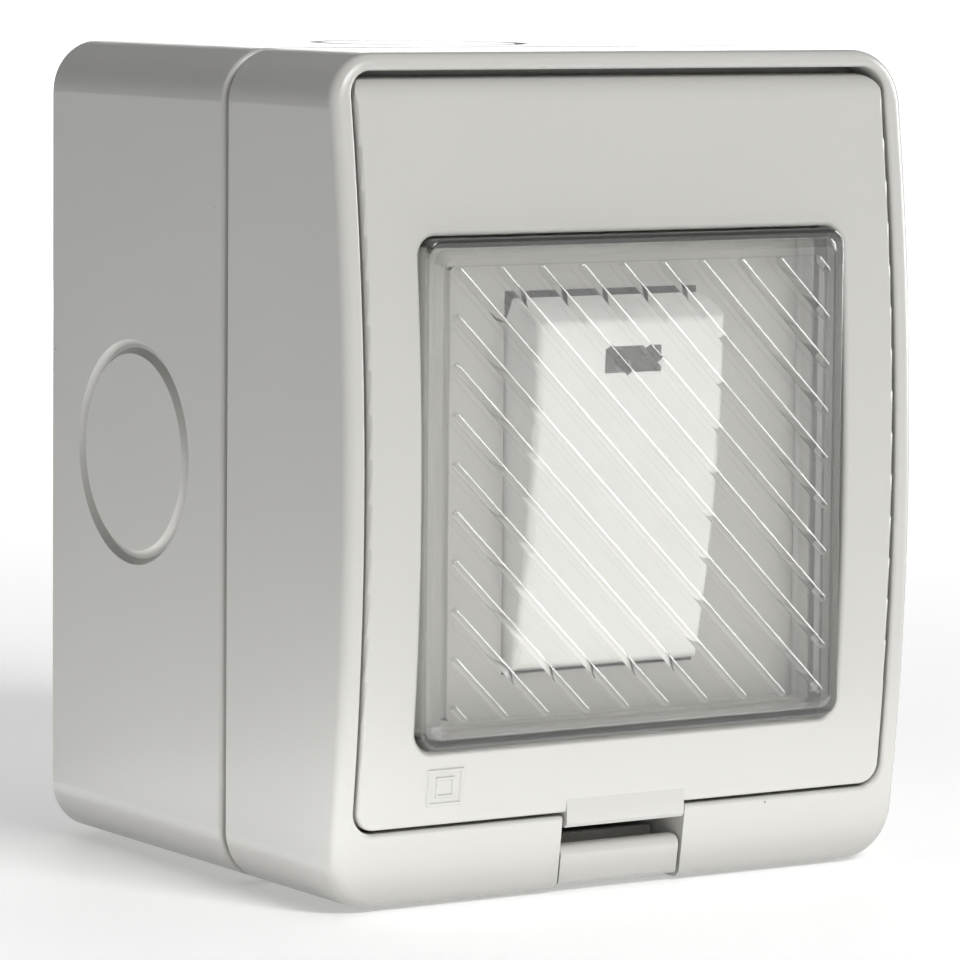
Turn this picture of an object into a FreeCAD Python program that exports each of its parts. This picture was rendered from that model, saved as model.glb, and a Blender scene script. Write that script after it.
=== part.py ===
import FreeCAD, Part
import math
import os

# Outdoor weatherproof switch: a two-part surface box with a hinged lid, a clear press-through
# window, and a two-pole rocker switch with an indicator behind it.
# Millimetres, +Z up. The origin is the centre of the back face, and the front looks along -Y.
# Depths are measured forward from the wall, so depth d lies at y = -d.

# Enclosure
BODY_WIDTH = 80.0
BODY_HEIGHT = 98.0
BODY_DEPTH = 70.0
SEAM_DEPTH = 42.3
SEAM_GAP = 1.0
SEAM_EDGE_RADIUS = 0.5
SEAL_INSET = 0.8
CORNER_RADIUS = 6.2
LEAST_RADIUS = 0.6
WALL = 2.2
BACK_WALL = 2.5
FRONT_RADIUS = 304.0
CROWN_HEIGHT = -2.0
FRONT_EDGE_RADIUS = 1.4
RIM_EDGE_RADIUS = 0.45
LIP_WALL = 1.2
LIP_CLEARANCE = 0.25
LIP_REACH = 3.0
ROOT = 0.5
SLIP = 0.1
RUNNING_CLEARANCE = 0.07

# Inner plate behind the lid
PLATE_RECESS = 8.6
PLATE_THICKNESS = 2.2

# Lid and its opening in the front housing
SIDE_RIM = 2.6
TOP_RIM = 2.0
CHIN_HEIGHT = 9.0
LID_CORNER_RADIUS = 2.5
LID_GAP = 0.4
LID_TOP_GAP = 0.8
LID_WALL = 2.2
LID_TOP_WALL = 1.6
LID_STANDOFF = 0.6
LID_EDGE_RADIUS = 0.5
LID_BARREL_RADIUS = 3.5
LID_BARREL_OFFSET = 0.02
HINGE_INSET = 2.3
HINGE_SWING_CLEARANCE = 0.4
TRUNNION_RADIUS = 1.1
TRUNNION_LENGTH = 1.5
TROUGH_WALL = 1.6

# Window
SWITCH_Z = -1.3
LID_SIDE = 7.5
WINDOW_END_ROOM = 8.8
WINDOW_CORNER_RADIUS = 2.2
WINDOW_BORDER_DROP = 0.3
WINDOW_FACE_RISE = 0.8
WINDOW_BORDER = 2.1
WINDOW_BORDER_EDGE_RADIUS = 0.5
WINDOW_SKIN = 1.1
WINDOW_GAP = 0.25
WINDOW_EDGE_RADIUS = 0.6
SEAT_DROP = 4.2
SEAT_WIDTH = 3.6
FLANGE_REACH = 3.2
CLAMP_THICKNESS = 2.0
CLAMP_INSET = 1.4
LID_SEAL_WIDTH = 2.6
LID_SEAL_THICKNESS = 1.0
RIB_RADIUS = 0.55
RIB_SINK = 0.15
RIB_END_INSET = 0.9
RIB_CORNER_REACH = 1.3
RIB_STEPS = 9
PEG_RADIUS = 0.9
PEG_LENGTH = 3.0
PEG_SIDE_SHARES = (-0.6, 0.0, 0.6)
PEG_END_SHARES = (-0.45, 0.45)

# Finger tab and latch in the chin
NOTCH_HALF_WIDTH = 8.7
TAB_HALF_WIDTH = 8.3
TAB_REACH = 1.4
TAB_FLARE = 0.25
TAB_CREASE = 1.6
TAB_EDGE = 0.45
HOOK_REACH = 4.0
HOOK_THICKNESS = 1.2
HOOK_DROP = 1.5
LATCH_HALF_WIDTH = 8.35
LATCH_SETBACK = 6.2
LATCH_FRONT_SETBACK = 0.2
LATCH_PIVOT_RISE = 2.2
LATCH_BOTTOM_RISE = 0.6
LATCH_PIN_RADIUS = 1.2
LATCH_TOP_GAP = 0.85
LATCH_NOSE_RISE = 0.3
LATCH_NOSE_LENGTH = 1.2
LATCH_TOP_RADIUS = 1.1
LATCH_BOTTOM_RADIUS = 0.6
LATCH_TONGUE = 0.9
LATCH_SHELL = 2.4
LATCH_FLOOR = 1.6
POCKET_ROOM = 2.8
POCKET_WALL = 1.7

# Fixings of the housing
SCREW_INSET_X = 7.4
SCREW_INSET_TOP = 14.1
SCREW_INSET_BOTTOM = 4.5
SCREW_RADIUS = 1.75
SCREW_BITE = 0.05
SCREW_HEAD_RADIUS = 2.8
SCREW_HEAD_HEIGHT = 2.2
SCREW_HEAD_EDGE = 0.5
SCREW_SEAT_DROP = 1.8
SCREW_LENGTH = 26.0
SCREW_CLEARANCE = 0.35
SLOT_HALF_LENGTH = 2.0
SLOT_HALF_WIDTH = 0.4
SLOT_DEPTH = 1.2
BOSS_RADIUS = 4.0
POST_RADIUS = 3.6
BLIND_END = 3.0
WALL_HOLE_RADIUS = 2.25
WALL_HOLE_SPACING = 60.0
WALL_HOLE_COLLAR = 1.5
ENTRY_DEPTH = 20.4
ENTRY_RADIUS = 13.6
ENTRY_GROOVE = 1.7
ENTRY_GROOVE_DEPTH = 0.8
ENTRY_GROOVE_FOOT = 0.3

# Rocker and its base
ROCKER_PIVOT_DROP = 5.4
ROCKER_TILT = 7.0
ROCKER_HALF_WIDTH = 13.2
ROCKER_END_ROOM = 5.5
ROCKER_EDGE_REACH = 9.87
ROCKER_EDGE_RADIUS = 1.0
ROCKER_CROWN = 1.2
ROCKER_WALL = 1.7
ROCKER_SKIRT = 4.0
ROCKER_HEEL_REACH = 3.2
ROCKER_HEEL_HALF = 6.0
ROCKER_PIN_RADIUS = 2.0
ROCKER_PIN_GAP = 0.6
ROCKER_GAP = 0.36
ROCKER_WEB_HALF = 0.8
ROCKER_WEB_BACK = 2.0
LENS_HALF_WIDTH = 3.9
LENS_HALF_HEIGHT = 1.5
LENS_INSET = 4.5
LENS_FIT = 0.05
LENS_BACK = 6.0
LENS_LIP = 1.0
LENS_LIP_THICKNESS = 1.2
BASE_HALF_WIDTH = 17.0
BASE_CORNER_RADIUS = 2.0
BASE_WALL = 1.8
BASE_DEPTH = 22.2
BASE_FLOOR = 2.0
EAR_ROOM = 8.7
EAR_REACH = 4.0
EAR_DROP = 9.4
EAR_HALF_WIDTH = 5.0
EAR_THICKNESS = 2.2
EAR_HOLE_RADIUS = 1.7
EAR_BOSS_RADIUS = 3.2
MODULE_SCREW_RADIUS = 1.45
MODULE_SCREW_HEAD_RADIUS = 2.6
MODULE_SCREW_HEAD_HEIGHT = 1.8
MODULE_SCREW_END = 1.2
PARTITION_HALF = 0.8
PARTITION_HEIGHT = 9.0
PARTITION_LAMP_GAP = 3.0
CRADLE_X = 2.6
CRADLE_HALF_WIDTH = 0.7
CRADLE_HALF_HEIGHT = 1.2
PAD_HALF_WIDTH = 2.0
PAD_HALF_HEIGHT = 1.5
PAD_HEIGHT = 3.3

# Contacts, one set for each pole
POLE_X = 7.0
PLUNGER_RADIUS = 2.0
PLUNGER_REACH = 10.75
PLUNGER_POINT = 1.2
GUIDE_WALL = 1.3
GUIDE_BACK = 4.5
GUIDE_BORE_END = 7.2
SPRING_WIRE = 0.5
SPRING_GAP = 0.2
SPRING_TURNS = 4.5
ARM_RISE = 6.9
ARM_THICKNESS = 1.0
ARM_WIDTH = 5.0
ARM_TILT = 6.0
ARM_BOSS_RADIUS = 1.2
ARM_SEAT_GAP = 0.5
CONTACT_SHARE = 0.365
CONTACT_RADIUS = 1.5
CONTACT_HEIGHT = 0.8
CONTACT_TRAVEL = 2.15
COMMON_POST_HALF = 2.5
LOAD_POST_HALF = 2.0
TERMINAL_DEPTH = 8.5
TERMINAL_GAP = 1.5
TERMINAL_RISE = 0.1
WIRE_HOLE_RADIUS = 2.0
WIRE_HOLE_DEPTH = 4.6
TERMINAL_SCREW_RADIUS = 1.5
TERMINAL_SCREW_HEAD_RADIUS = 2.3
TERMINAL_SCREW_HEAD_HEIGHT = 2.0
TERMINAL_SCREW_STANDOFF = 0.2
TERMINAL_SCREW_REACH = 2.8
TERMINAL_SLOT_DEPTH = 0.8
LAMP_RADIUS = 2.0
LAMP_HALF_LENGTH = 4.5
LAMP_RISE = 11.0
LAMP_OFFSET = 0.5
RESISTOR_RADIUS = 1.2
RESISTOR_HALF_LENGTH = 3.2
RESISTOR_STANDOFF = 0.1
RESISTOR_OFFSET = 5.0
LEAD_RADIUS = 0.3
LEAD_REACH = 1.0

os.makedirs("parts", exist_ok=True)

X_AXIS = FreeCAD.Vector(1, 0, 0)
FORWARD = FreeCAD.Vector(0, -1, 0)
Z_AXIS = FreeCAD.Vector(0, 0, 1)
FAR = BODY_DEPTH + BODY_HEIGHT
SMALL = 0.01
HALF_WIDTH = BODY_WIDTH / 2
HALF_HEIGHT = BODY_HEIGHT / 2
BOX_RIM = SEAM_DEPTH - SEAM_GAP / 2
HOUSING_RIM = SEAM_DEPTH + SEAM_GAP / 2
PLATE_FRONT = BODY_DEPTH - PLATE_RECESS
PLATE_BACK = PLATE_FRONT - PLATE_THICKNESS

LID_OPENING_HALF_WIDTH = HALF_WIDTH - SIDE_RIM
LID_OPENING_TOP = HALF_HEIGHT - TOP_RIM
LID_OPENING_BOTTOM = -HALF_HEIGHT + CHIN_HEIGHT
LID_HALF_WIDTH = LID_OPENING_HALF_WIDTH - LID_GAP
LID_TOP = LID_OPENING_TOP - LID_TOP_GAP
LID_BOTTOM = LID_OPENING_BOTTOM + LID_GAP
LID_BACK = PLATE_FRONT + LID_STANDOFF
HINGE_Z = LID_TOP - LID_BARREL_RADIUS
BARREL_PATH = FRONT_RADIUS - LID_BARREL_RADIUS - LID_BARREL_OFFSET
BARREL_DEPTH = BODY_DEPTH - FRONT_RADIUS + math.sqrt(BARREL_PATH**2 - (HINGE_Z - CROWN_HEIGHT) ** 2)
BARREL_MEETS_FRONT = HINGE_Z + LID_BARREL_RADIUS * (HINGE_Z - CROWN_HEIGHT) / BARREL_PATH
HINGE_DEPTH = BARREL_DEPTH + LID_BARREL_RADIUS - HINGE_INSET
HINGE_SWING = math.hypot(HINGE_DEPTH - LID_BACK, LID_BARREL_RADIUS) + HINGE_SWING_CLEARANCE

EAR_Z = SWITCH_Z - LID_OPENING_BOTTOM - EAR_ROOM
EAR_DEPTH = PLATE_FRONT - EAR_DROP
BASE_HALF_HEIGHT = EAR_Z - EAR_REACH
BASE_BACK = PLATE_BACK - BASE_DEPTH
ROCKER_PIVOT_DEPTH = PLATE_FRONT - ROCKER_PIVOT_DROP
ROCKER_HALF_LENGTH = BASE_HALF_HEIGHT - ROCKER_END_ROOM
ROCKER_END_RADIUS = math.hypot(ROCKER_HALF_LENGTH, ROCKER_EDGE_REACH)
LENS_Z = SWITCH_Z + ROCKER_HALF_LENGTH - LENS_INSET

WINDOW_HALF_WIDTH = LID_HALF_WIDTH - LID_SIDE
WINDOW_HALF_HEIGHT = ROCKER_HALF_LENGTH + WINDOW_END_ROOM
WINDOW_BORDER_DEPTH = BODY_DEPTH - WINDOW_BORDER_DROP
WINDOW_FACE_DEPTH = BODY_DEPTH + WINDOW_FACE_RISE
SEAT_DEPTH = BODY_DEPTH - SEAT_DROP
CLAMP_FRONT = SEAT_DEPTH - WINDOW_SKIN
CLAMP_BACK = CLAMP_FRONT - CLAMP_THICKNESS

TAB_LIP = LID_OPENING_BOTTOM - TAB_REACH
HOOK_BACK = LID_BACK - HOOK_REACH
HOOK_BOTTOM = TAB_LIP - HOOK_DROP
LATCH_PIVOT_DEPTH = HOUSING_RIM + LATCH_SETBACK
LATCH_PIVOT_Z = -HALF_HEIGHT + LATCH_PIVOT_RISE
LATCH_BOTTOM = -HALF_HEIGHT + LATCH_BOTTOM_RISE
LATCH_TOP = HOOK_BOTTOM - LATCH_TOP_GAP
POCKET_BACK = LATCH_PIVOT_DEPTH - POCKET_ROOM
POCKET_HALF = NOTCH_HALF_WIDTH + POCKET_WALL

SCREW_X = LID_OPENING_HALF_WIDTH - SCREW_INSET_X
SCREW_HEIGHTS = (LID_OPENING_TOP - SCREW_INSET_TOP, LID_OPENING_BOTTOM + SCREW_INSET_BOTTOM)
SCREW_PLACES = [(x, z) for x in (-SCREW_X, SCREW_X) for z in SCREW_HEIGHTS]
SCREW_SEAT = PLATE_BACK - SCREW_SEAT_DROP
WALL_HOLE_HEIGHTS = (-WALL_HOLE_SPACING / 2, WALL_HOLE_SPACING / 2)
EAR_HEIGHTS = (SWITCH_Z - EAR_Z, SWITCH_Z + EAR_Z)

POLES = {"left": -POLE_X, "right": POLE_X}
CONTACT_Z = CONTACT_SHARE * BASE_HALF_HEIGHT
ARM_HALF_LENGTH = CONTACT_Z + CONTACT_RADIUS
ARM_PIVOT_DEPTH = BASE_BACK + ARM_RISE
FIXED_CONTACT_FACE = ARM_PIVOT_DEPTH - CONTACT_TRAVEL
TERMINAL_BACK = BASE_BACK - TERMINAL_DEPTH
TERMINAL_SIZE = CONTACT_Z - TERMINAL_GAP
TERMINAL_HEIGHTS = (SWITCH_Z, SWITCH_Z + CONTACT_Z + TERMINAL_RISE)
BASE_FLOOR_FRONT = BASE_BACK + BASE_FLOOR
LAMP_Z = LENS_Z - LAMP_OFFSET
LAMP_DEPTH = BASE_BACK + LAMP_RISE


def front_depth(z):
    """Depth of the bowed front surface at height z."""
    return BODY_DEPTH - FRONT_RADIUS + math.sqrt(FRONT_RADIUS**2 - (z - CROWN_HEIGHT) ** 2)


def at(x, d, z):
    return FreeCAD.Vector(x, -d, z)


def block(x0, x1, d0, d1, z0, z1):
    return Part.makeBox(x1 - x0, d1 - d0, z1 - z0, at(x0, d1, z0))


def rounded_wire(half_width, z0, z1, radius, d):
    """Closed outline of an upright rounded rectangle at depth d."""
    w = half_width
    r = radius
    turn = r * (1 - math.sqrt(0.5))
    starts = [(w, z0 + r), (w - r, z1), (-w, z1 - r), (-w + r, z0)]
    ends = [(w, z1 - r), (-w + r, z1), (-w, z0 + r), (w - r, z0)]
    bends = [(w - turn, z1 - turn), (-w + turn, z1 - turn), (-w + turn, z0 + turn), (w - turn, z0 + turn)]
    edges = []
    for i in range(4):
        start = at(starts[i][0], d, starts[i][1])
        end = at(ends[i][0], d, ends[i][1])
        after = at(starts[(i + 1) % 4][0], d, starts[(i + 1) % 4][1])
        bend = at(bends[i][0], d, bends[i][1])
        edges.append(Part.makeLine(start, end))
        edges.append(Part.Arc(end, bend, after).toShape())
    return Part.Wire(edges)


def rounded_prism(half_width, z0, z1, radius, d0, d1):
    outline = rounded_wire(half_width, z0, z1, radius, d0)
    return Part.Face(outline).extrude(FORWARD * (d1 - d0))


def rounded_ring(half_width, z0, z1, radius, width, d0, d1):
    """Upright rounded ring whose outer edge is given, of the given width."""
    outer = rounded_prism(half_width, z0, z1, radius, d0, d1)
    inner_radius = max(radius - width, LEAST_RADIUS)
    inner = rounded_prism(half_width - width, z0 + width, z1 - width, inner_radius, d0, d1)
    return outer.cut(inner)


def body_prism(inset, d0, d1):
    """The enclosure's outline moved in by inset, between two depths."""
    half_h = HALF_HEIGHT - inset
    return rounded_prism(HALF_WIDTH - inset, -half_h, half_h, CORNER_RADIUS - inset, d0, d1)


def body_ring(inset, width, d0, d1):
    half_h = HALF_HEIGHT - inset
    return rounded_ring(HALF_WIDTH - inset, -half_h, half_h, CORNER_RADIUS - inset, width, d0, d1)


def side_prism(points, half_width):
    """Outline of depth and height points, drawn out to both sides along X."""
    corners = [at(-half_width, d, z) for d, z in points]
    outline = Part.makePolygon(corners + [corners[0]])
    return Part.Face(outline).extrude(X_AXIS * (2 * half_width))


def cross_cylinder(radius, d, z, x0, x1):
    return Part.makeCylinder(radius, x1 - x0, at(x0, d, z), X_AXIS)


def deep_cylinder(radius, x, z, d0, d1):
    return Part.makeCylinder(radius, d1 - d0, at(x, d0, z), FORWARD)


def upright_cylinder(radius, x, d, z0, z1):
    return Part.makeCylinder(radius, z1 - z0, at(x, d, z0), Z_AXIS)


def behind_front(offset):
    """Everything behind the bowed front, moved in by offset."""
    axis = at(-FAR, BODY_DEPTH - FRONT_RADIUS, CROWN_HEIGHT)
    drum = Part.makeCylinder(FRONT_RADIUS - offset, 2 * FAR, axis, X_AXIS)
    return drum.common(block(-FAR, FAR, -FAR, FAR, -FAR, FAR))


def middle_of(edge):
    return edge.valueAt((edge.FirstParameter + edge.LastParameter) / 2)


def front_edges(shape, half_width, z0, z1):
    """Edges of the bowed front that lie inside the given upright window."""
    found = []
    for edge in shape.Edges:
        point = middle_of(edge)
        reach = math.hypot(-point.y - (BODY_DEPTH - FRONT_RADIUS), point.z - CROWN_HEIGHT)
        inside = abs(point.x) <= half_width and z0 <= point.z <= z1
        if inside and abs(reach - FRONT_RADIUS) < SMALL:
            found.append(edge)
    return found


def edges_at_depth(shape, d):
    return [edge for edge in shape.Edges if abs(-middle_of(edge).y - d) < SMALL]


def fused(first, *others):
    return first.multiFuse(list(others)).removeSplitter()


def save(name, *solids):
    shape = solids[0] if len(solids) == 1 else Part.makeCompound(list(solids))
    shape.exportStep(f"parts/{name}.step")


def entry_groove(centre, outward):
    """Ring groove with sloping flanks that outlines a knock-out entry in the wall at centre."""
    height = ENTRY_GROOVE_DEPTH + ROOT
    slope = (ENTRY_GROOVE - ENTRY_GROOVE_FOOT) / 2 / ENTRY_GROOVE_DEPTH
    foot = centre - outward * ENTRY_GROOVE_DEPTH
    outer_foot = ENTRY_RADIUS - slope * ENTRY_GROOVE_DEPTH
    inner_foot = outer_foot - ENTRY_GROOVE_FOOT
    outer = Part.makeCone(outer_foot, outer_foot + slope * height, height, foot, outward)
    core = Part.makeCone(inner_foot, inner_foot - slope * height, height, foot, outward)
    return outer.cut(core)


def back_box():
    body = body_prism(0, 0, BOX_RIM)
    body = body.makeFillet(SEAM_EDGE_RADIUS, edges_at_depth(body, BOX_RIM))
    body = body.cut(body_prism(WALL, BACK_WALL, FAR))
    additions = []
    for x, z in SCREW_PLACES:
        additions.append(deep_cylinder(POST_RADIUS, x, z, BACK_WALL - ROOT, BOX_RIM))
    for z in WALL_HOLE_HEIGHTS:
        collar_front = BACK_WALL + WALL_HOLE_COLLAR
        additions.append(deep_cylinder(2 * WALL_HOLE_RADIUS, 0, z, BACK_WALL - ROOT, collar_front))
    body = fused(body, *additions)
    for x, z in SCREW_PLACES:
        bottom = SCREW_SEAT - SCREW_LENGTH - BLIND_END
        body = body.cut(deep_cylinder(SCREW_RADIUS + SCREW_BITE, x, z, bottom, FAR))
    for z in WALL_HOLE_HEIGHTS:
        body = body.cut(deep_cylinder(WALL_HOLE_RADIUS, 0, z, -FAR, FAR))
    for sign in (-1, 1):
        body = body.cut(entry_groove(at(sign * HALF_WIDTH, ENTRY_DEPTH, 0), X_AXIS * sign))
        body = body.cut(entry_groove(at(0, ENTRY_DEPTH, sign * HALF_HEIGHT), Z_AXIS * sign))
    return body


def housing_seal():
    return body_ring(SEAL_INSET, WALL - SEAL_INSET, BOX_RIM, HOUSING_RIM)


def cross_slot(screw, x, z, d0):
    """Cut the two arms of a cross recess into a screw head, forward of depth d0."""
    for half_x, half_z in ((SLOT_HALF_LENGTH, SLOT_HALF_WIDTH), (SLOT_HALF_WIDTH, SLOT_HALF_LENGTH)):
        screw = screw.cut(block(x - half_x, x + half_x, d0, FAR, z - half_z, z + half_z))
    return screw


def housing_screws():
    screws = []
    head_front = SCREW_SEAT + SCREW_HEAD_HEIGHT
    for x, z in SCREW_PLACES:
        head = deep_cylinder(SCREW_HEAD_RADIUS, x, z, SCREW_SEAT, head_front)
        head = head.makeChamfer(SCREW_HEAD_EDGE, edges_at_depth(head, head_front))
        shank = deep_cylinder(SCREW_RADIUS, x, z, SCREW_SEAT - SCREW_LENGTH, SCREW_SEAT)
        screws.append(cross_slot(fused(head, shank), x, z, head_front - SLOT_DEPTH))
    return screws


def housing_shell():
    """Outer moulding: bowed front with a soft edge all round, the lid's opening and the cavity behind."""
    outer = body_prism(0, HOUSING_RIM, FAR)
    outer = outer.makeFillet(SEAM_EDGE_RADIUS, edges_at_depth(outer, HOUSING_RIM))
    outer = outer.common(behind_front(0))
    outer = outer.makeFillet(FRONT_EDGE_RADIUS, front_edges(outer, FAR, -FAR, FAR))
    half_w = LID_OPENING_HALF_WIDTH
    low = LID_OPENING_BOTTOM
    high = LID_OPENING_TOP
    shell = outer.cut(rounded_prism(half_w, low, high, LID_CORNER_RADIUS + LID_GAP, PLATE_FRONT, FAR))
    rim = front_edges(shell, half_w + SMALL, low - SMALL, high + SMALL)
    shell = shell.makeFillet(RIM_EDGE_RADIUS, rim)
    return outer, shell.cut(body_prism(WALL, 0, PLATE_BACK))


def rocker_opening():
    """Opening in the plate, its ends curved about the rocker's pivot so that the gap stays even."""
    half_w = ROCKER_HALF_WIDTH + ROCKER_GAP
    sweep = cross_cylinder(ROCKER_END_RADIUS + ROCKER_GAP, ROCKER_PIVOT_DEPTH, SWITCH_Z, -half_w, half_w)
    return sweep.common(block(-FAR, FAR, PLATE_BACK - ROOT, PLATE_FRONT + ROOT, -FAR, FAR))


def front_housing():
    outer, body = housing_shell()
    trough_floor = HINGE_DEPTH - HINGE_SWING
    trough_low = HINGE_Z - HINGE_SWING
    plate_root = PLATE_FRONT - ROOT
    collar_inset = WALL - ROOT
    additions = [
        body_ring(WALL + LIP_CLEARANCE, LIP_WALL, HOUSING_RIM - LIP_REACH, HOUSING_RIM),
        body_ring(collar_inset, LIP_CLEARANCE + LIP_WALL + ROOT, HOUSING_RIM, HOUSING_RIM + LIP_REACH)
    ]
    for x, z in SCREW_PLACES:
        additions.append(deep_cylinder(BOSS_RADIUS, x, z, BOX_RIM + SLIP, plate_root))
    for z in EAR_HEIGHTS:
        additions.append(deep_cylinder(EAR_BOSS_RADIUS, 0, z, EAR_DEPTH, plate_root))
    trough = block(-FAR, FAR, trough_floor - TROUGH_WALL, PLATE_FRONT, trough_low - TROUGH_WALL, FAR)
    additions.append(trough.common(outer))
    pocket_top = LID_OPENING_BOTTOM + POCKET_WALL
    pocket = block(-POCKET_HALF, POCKET_HALF, POCKET_BACK - POCKET_WALL, PLATE_FRONT, -FAR, pocket_top)
    additions.append(pocket.common(outer))
    body = fused(body, *additions)
    half_w = LID_OPENING_HALF_WIDTH
    body = body.cut(block(-half_w, half_w, trough_floor, PLATE_FRONT + SLIP, trough_low, LID_OPENING_TOP))
    chin_front = front_depth(-HALF_HEIGHT) - WALL
    chin_side = HALF_WIDTH - CORNER_RADIUS
    for x0, x1 in ((-chin_side, -POCKET_HALF), (POCKET_HALF, chin_side)):
        body = body.cut(
            block(x0, x1, PLATE_BACK - ROOT, chin_front, -HALF_HEIGHT + WALL, LID_OPENING_BOTTOM - WALL)
        )
    body = body.cut(block(-NOTCH_HALF_WIDTH, NOTCH_HALF_WIDTH, POCKET_BACK, FAR, -FAR, LID_OPENING_BOTTOM))
    bore = LATCH_PIN_RADIUS + RUNNING_CLEARANCE
    pin_reach = POCKET_HALF + SLIP
    body = body.cut(cross_cylinder(bore, LATCH_PIVOT_DEPTH, LATCH_PIVOT_Z, -pin_reach, pin_reach))
    body = body.cut(rocker_opening())
    for x, z in SCREW_PLACES:
        body = body.cut(deep_cylinder(SCREW_RADIUS + SCREW_CLEARANCE, x, z, BOX_RIM, FAR))
        body = body.cut(deep_cylinder(SCREW_HEAD_RADIUS + 2 * SLIP, x, z, SCREW_SEAT, FAR))
    for z in EAR_HEIGHTS:
        body = body.cut(deep_cylinder(MODULE_SCREW_RADIUS + SCREW_BITE, 0, z, EAR_DEPTH, PLATE_BACK - SLIP))
    socket = TRUNNION_RADIUS + RUNNING_CLEARANCE
    reach = LID_HALF_WIDTH + TRUNNION_LENGTH + SLIP
    return body.cut(cross_cylinder(socket, HINGE_DEPTH, HINGE_Z, -reach, reach))


def lid_outline(inset, d0, d1):
    radius = max(LID_CORNER_RADIUS - inset, LEAST_RADIUS)
    return rounded_prism(LID_HALF_WIDTH - inset, LID_BOTTOM + inset, LID_TOP - inset, radius, d0, d1)


def window_prism(grow, d0, d1):
    """The window's outline grown on all sides, between two depths."""
    half_h = WINDOW_HALF_HEIGHT + grow
    radius = max(WINDOW_CORNER_RADIUS + grow, LEAST_RADIUS)
    return rounded_prism(WINDOW_HALF_WIDTH + grow, SWITCH_Z - half_h, SWITCH_Z + half_h, radius, d0, d1)


def peg_places():
    x = WINDOW_HALF_WIDTH + SEAT_WIDTH / 2
    z = WINDOW_HALF_HEIGHT + SEAT_WIDTH / 2
    places = []
    for sign in (-1, 1):
        places += [(sign * x, SWITCH_Z + share * WINDOW_HALF_HEIGHT) for share in PEG_SIDE_SHARES]
        places += [(share * WINDOW_HALF_WIDTH, SWITCH_Z + sign * z) for share in PEG_END_SHARES]
    return places


def barrel_space(radius):
    """Space under the rounded top of the lid: the barrel of that rounding, and all below and behind it."""
    barrel = cross_cylinder(radius, BARREL_DEPTH, HINGE_Z, -FAR, FAR)
    below = block(-FAR, FAR, -FAR, FAR, -FAR, BARREL_MEETS_FRONT)
    behind = block(-FAR, FAR, -FAR, BARREL_DEPTH, -FAR, FAR)
    return fused(barrel, below, behind)


def finger_tab():
    """Flared tab at the lid's foot, with the latch hook on an arm behind it."""
    crease = LID_BOTTOM + TAB_CREASE
    face = front_depth(LID_BOTTOM) + TAB_FLARE
    arm_top = LID_OPENING_BOTTOM - LID_GAP
    hook_front = HOOK_BACK + HOOK_THICKNESS
    outline = [
        (front_depth(crease) - LID_WALL / 2, crease), (front_depth(crease), crease), (face, LID_BOTTOM),
        (face, TAB_LIP + TAB_EDGE), (face - TAB_EDGE, TAB_LIP), (hook_front, TAB_LIP),
        (hook_front, HOOK_BOTTOM), (HOOK_BACK + HOOK_THICKNESS / 2, HOOK_BOTTOM), (HOOK_BACK, TAB_LIP),
        (HOOK_BACK, arm_top), (LID_BACK + ROOT, arm_top), (LID_BACK + ROOT, crease)
    ]
    return side_prism(outline, TAB_HALF_WIDTH)


def lid():
    skin = lid_outline(0, LID_BACK, FAR).common(behind_front(0))
    skin = skin.makeFillet(LID_EDGE_RADIUS, front_edges(skin, FAR, -FAR, FAR))
    skin = skin.common(barrel_space(LID_BARREL_RADIUS))
    inner = lid_outline(LID_WALL, 0, FAR).common(behind_front(LID_WALL))
    inner = inner.common(barrel_space(LID_BARREL_RADIUS - LID_TOP_WALL))
    body = skin.cut(inner).cut(window_prism(SEAT_WIDTH, 0, SEAT_DEPTH))
    seat = window_prism(SEAT_WIDTH, SEAT_DEPTH, FAR).common(behind_front(ROOT))
    pins = []
    for sign in (-1, 1):
        x0, x1 = sorted((sign * (LID_HALF_WIDTH - LID_WALL), sign * (LID_HALF_WIDTH + TRUNNION_LENGTH)))
        pins.append(cross_cylinder(TRUNNION_RADIUS, HINGE_DEPTH, HINGE_Z, x0, x1))
    peg_back = SEAT_DEPTH - PEG_LENGTH
    pegs = [deep_cylinder(PEG_RADIUS, x, z, peg_back, SEAT_DEPTH + ROOT) for x, z in peg_places()]
    body = fused(body, seat, finger_tab(), *pins, *pegs)
    body = body.cut(window_prism(WINDOW_GAP, 0, FAR))
    half_w = WINDOW_HALF_WIDTH + WINDOW_GAP + SMALL
    half_h = WINDOW_HALF_HEIGHT + WINDOW_GAP + SMALL
    frame_edge = front_edges(body, half_w, SWITCH_Z - half_h, SWITCH_Z + half_h)
    return body.makeFillet(WINDOW_EDGE_RADIUS, frame_edge)


def capsule(start, end, radius):
    """Round bar with round ends between two points."""
    along = (end - start).normalize()
    side = along.cross(FORWARD) * radius
    half_turn = math.sqrt(0.5)
    first_bend = start - along * (radius * half_turn) + side * half_turn
    last_bend = end + along * (radius * half_turn) + side * half_turn
    first = start - along * radius
    last = end + along * radius
    edges = [
        Part.Arc(first, first_bend, start + side).toShape(),
        Part.makeLine(start + side, end + side),
        Part.Arc(end + side, last_bend, last).toShape(),
        Part.makeLine(last, first)
    ]
    return Part.Face(Part.Wire(edges)).revolve(start, along, 360)


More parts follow.
